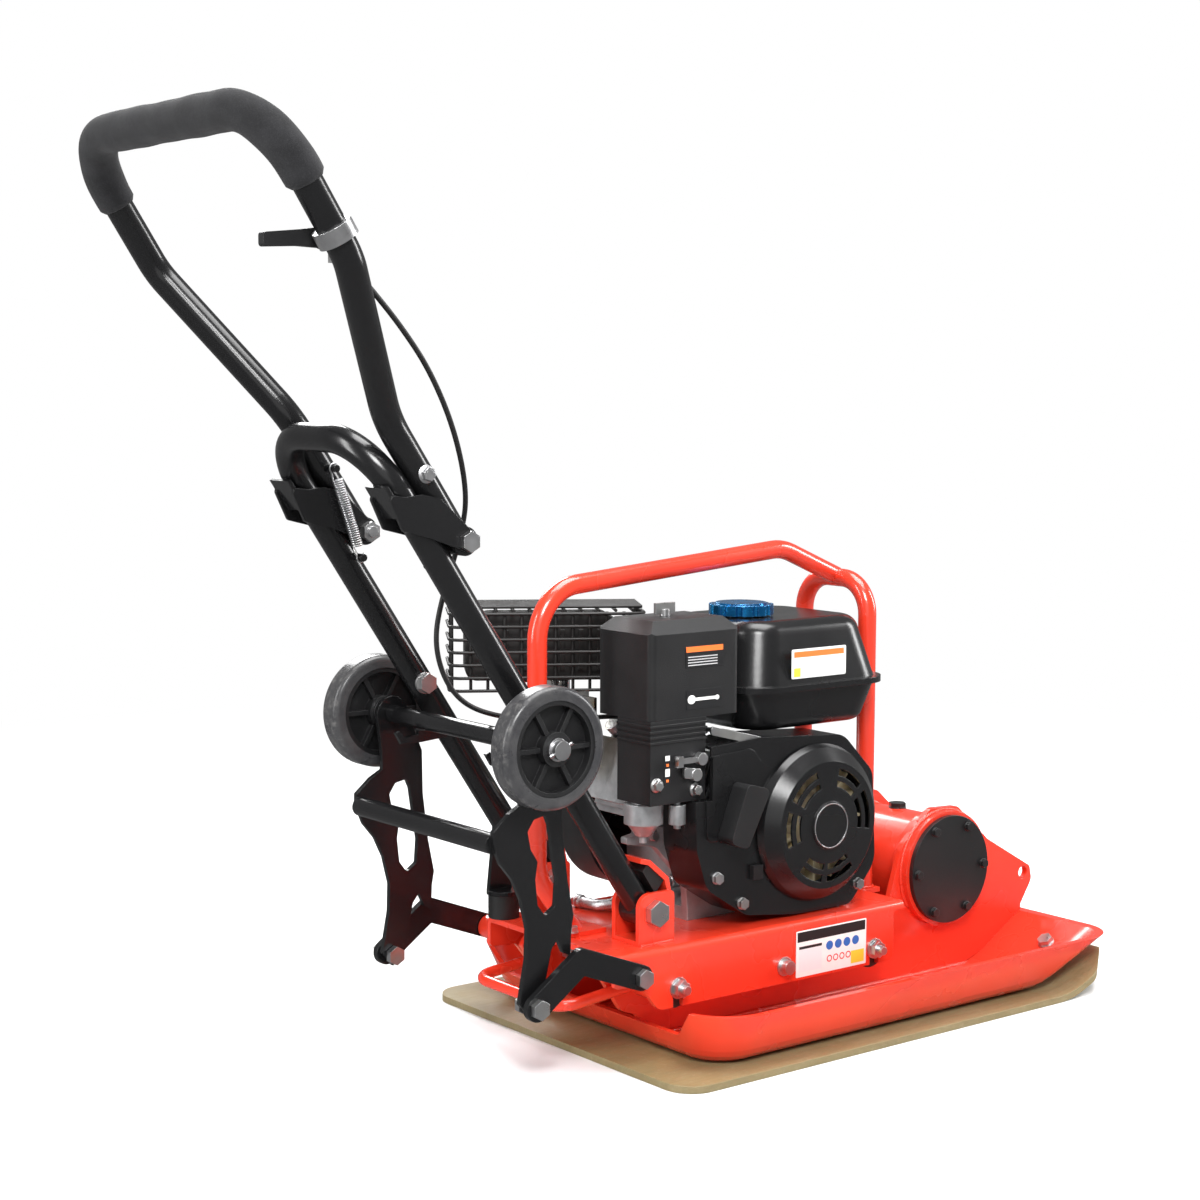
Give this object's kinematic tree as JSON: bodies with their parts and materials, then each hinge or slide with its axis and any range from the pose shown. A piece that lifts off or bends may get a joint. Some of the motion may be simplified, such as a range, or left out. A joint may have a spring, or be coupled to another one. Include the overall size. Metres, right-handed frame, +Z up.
{
  "type": "plate compactor",
  "caption": "Walk-behind plate compactor with a vibrating base plate, petrol engine on rubber mounts, folding handle and swing-down transport wheels.",
  "frame": {"origin": "centre of the flat underside of the paving pad", "axes": "+X is the direction of travel, towards the exciter; +Y is the belt side, to the left of the direction of travel; +Z is up"},
  "size_m": [1.1952, 0.48, 1.01],
  "materials": {
    "red_paint": "gloss red-orange enamel",
    "black_paint": "gloss black powder coat",
    "black_gloss_paint": "semi-gloss black enamel",
    "black_heat_paint": "satin black heat-resistant paint",
    "black_oxide_steel": "satin black",
    "zinc_steel": "bright zinc plate",
    "bearing_steel": "ground",
    "braided_steel": "braided wire",
    "chrome_pipe": "polished",
    "cast_iron": "machined",
    "cast_aluminium": "as-cast, satin",
    "blue_anodised": "blue anodised",
    "black_plastic": "fine-grained black",
    "cream_plastic": "cream, moulded",
    "black_rubber": "satin black",
    "foam": "closed-cell foam, matte",
    "wheel_tyre": "dark grey, satin",
    "pad_urethane": "olive-brown polyurethane, satin"
  },
  "bodies": {
    "base": {"paving_pad": "pad_urethane", "base_plate": "red_paint", "side_ribs": "red_paint", "base_bolts": "zinc_steel", "exciter_housing": "red_paint", "exciter_covers": "black_oxide_steel", "exciter_bolts": "black_oxide_steel", "exciter_bearings": "bearing_steel", "v_belt": "black_rubber", "belt_guard": "black_plastic", "engine_deck": "red_paint", "isolators": "black_rubber", "handle_brackets": "red_paint", "handle_stops": "black_rubber", "lifting_frame": "red_paint", "pivot_bolts": "zinc_steel", "crankcase": "cast_aluminium", "cylinder_head": "cast_aluminium", "valve_cover": "cast_aluminium", "blower_housing": "black_gloss_paint", "recoil_cover": "black_gloss_paint", "fuel_tank": "black_gloss_paint", "air_filter_base": "black_plastic", "air_filter_cover": "black_plastic", "carburetor": "cast_aluminium", "muffler": "black_heat_paint", "muffler_guard": "black_heat_paint", "exhaust_manifold": "chrome_pipe", "engine_hardware": "zinc_steel", "drain_hose": "braided_steel", "dipstick": "black_plastic", "throttle_cable_lower": "black_rubber"},
    "crankshaft": {"crankshaft": "zinc_steel", "clutch_pulley": "cast_iron", "flywheel_fan": "cream_plastic"},
    "eccentric": {"eccentric_shaft": "zinc_steel", "exciter_pulley": "cast_iron"},
    "lower_handle": {"lower_handle": "black_paint", "fold_bolts": "zinc_steel", "tension_springs": "zinc_steel"},
    "upper_handle": {"upper_handle": "black_paint", "foam_grip": "foam", "throttle_clamp": "zinc_steel", "throttle_cable_upper": "black_rubber"},
    "throttle_lever": {"throttle_lever": "black_plastic"},
    "link_arms": {"link_arms": "black_paint", "kit_bolts": "zinc_steel"},
    "wheel_frame": {"wheel_frame": "black_paint", "axle": "zinc_steel"},
    "wheel_right": {"wheel_right_hub": "black_plastic", "wheel_right_tyre": "wheel_tyre"},
    "wheel_left": {"wheel_left_hub": "black_plastic", "wheel_left_tyre": "wheel_tyre"},
    "starter_grip": {"starter_grip": "black_plastic"},
    "engine_switch": {"engine_switch": "black_plastic"},
    "fuel_cap": {"fuel_cap": "blue_anodised"},
    "filter_nut": {"filter_nut": "zinc_steel"},
    "choke_lever": {"choke_lever": "zinc_steel"},
    "fuel_lever": {"fuel_lever": "zinc_steel"},
    "governor_lever": {"governor_lever": "zinc_steel"}
  },
  "joints": [
    {"name": "crank_spin", "type": "hinge", "parent": "base", "child": "crankshaft", "pos_m": [-0.01, 0, 0.238], "axis": [0, 1, 0], "continuous": true},
    {"name": "exciter_spin", "type": "hinge", "parent": "base", "child": "eccentric", "pos_m": [0.242, 0, 0.145], "axis": [0, 1, 0], "continuous": true},
    {"name": "handle_pivot", "type": "hinge", "parent": "base", "child": "lower_handle", "pos_m": [-0.25, 0, 0.166], "axis": [0, 1, 0], "range_deg": [0, 1], "deforming": ["throttle_cable_lower"]},
    {"name": "handle_fold", "type": "hinge", "parent": "lower_handle", "child": "upper_handle", "pos_m": [-0.4935, 0, 0.583], "axis": [0, 1, 0], "range_deg": [0, 121], "deforming": ["tension_springs", "throttle_cable_upper"]},
    {"name": "throttle_pivot", "type": "hinge", "parent": "upper_handle", "child": "throttle_lever", "pos_m": [-0.69, -0.166, 0.876], "axis": [0, 1, 0], "range_deg": [0, 50]},
    {"name": "link_pivot", "type": "hinge", "parent": "base", "child": "link_arms", "pos_m": [-0.291, 0, 0.106], "axis": [0, 1, 0], "range_deg": [0, 18]},
    {"name": "kit_swing", "type": "hinge", "parent": "link_arms", "child": "wheel_frame", "pos_m": [-0.43, 0, 0.096], "axis": [0, -1, 0], "range_deg": [0, 124]},
    {"name": "wheel_right_spin", "type": "hinge", "parent": "wheel_frame", "child": "wheel_right", "pos_m": [-0.429, -0.163, 0.3725], "axis": [0, 1, 0], "continuous": true},
    {"name": "wheel_left_spin", "type": "hinge", "parent": "wheel_frame", "child": "wheel_left", "pos_m": [-0.429, 0.163, 0.3725], "axis": [0, 1, 0], "continuous": true},
    {"name": "starter_pull", "type": "slide", "parent": "base", "child": "starter_grip", "axis": [0, -1, 0], "range_m": [0, 0.5], "stiffness_N_per_m": 30},
    {"name": "switch_turn", "type": "hinge", "parent": "base", "child": "engine_switch", "pos_m": [-0.10275, -0.121, 0.192], "axis": [0, 1, 0], "range_deg": [0, 45]},
    {"name": "cap_turn", "type": "hinge", "parent": "base", "child": "fuel_cap", "pos_m": [-0.04, -0.02, 0.48], "axis": [0, 0, 1], "range_deg": [0, 75]},
    {"name": "nut_turn", "type": "hinge", "parent": "base", "child": "filter_nut", "pos_m": [-0.19, -0.06, 0.49], "axis": [0, 0, 1], "continuous": true},
    {"name": "choke_turn", "type": "hinge", "parent": "base", "child": "choke_lever", "pos_m": [-0.181, -0.115, 0.329], "axis": [0, 1, 0], "range_deg": [0, 45]},
    {"name": "fuel_turn", "type": "hinge", "parent": "base", "child": "fuel_lever", "pos_m": [-0.189, -0.115, 0.312], "axis": [0, -1, 0], "range_deg": [0, 60]},
    {"name": "governor_turn", "type": "hinge", "parent": "base", "child": "governor_lever", "pos_m": [-0.146, -0.06, 0.3535], "axis": [0, 0, 1], "range_deg": [0, 12]}
  ],
  "couplings": [
    {"joint": "exciter_spin", "follows": "crank_spin", "ratio": 1.5333},
    {"joint": "link_pivot", "follows": "kit_swing", "ratio": 0.145}
  ]
}
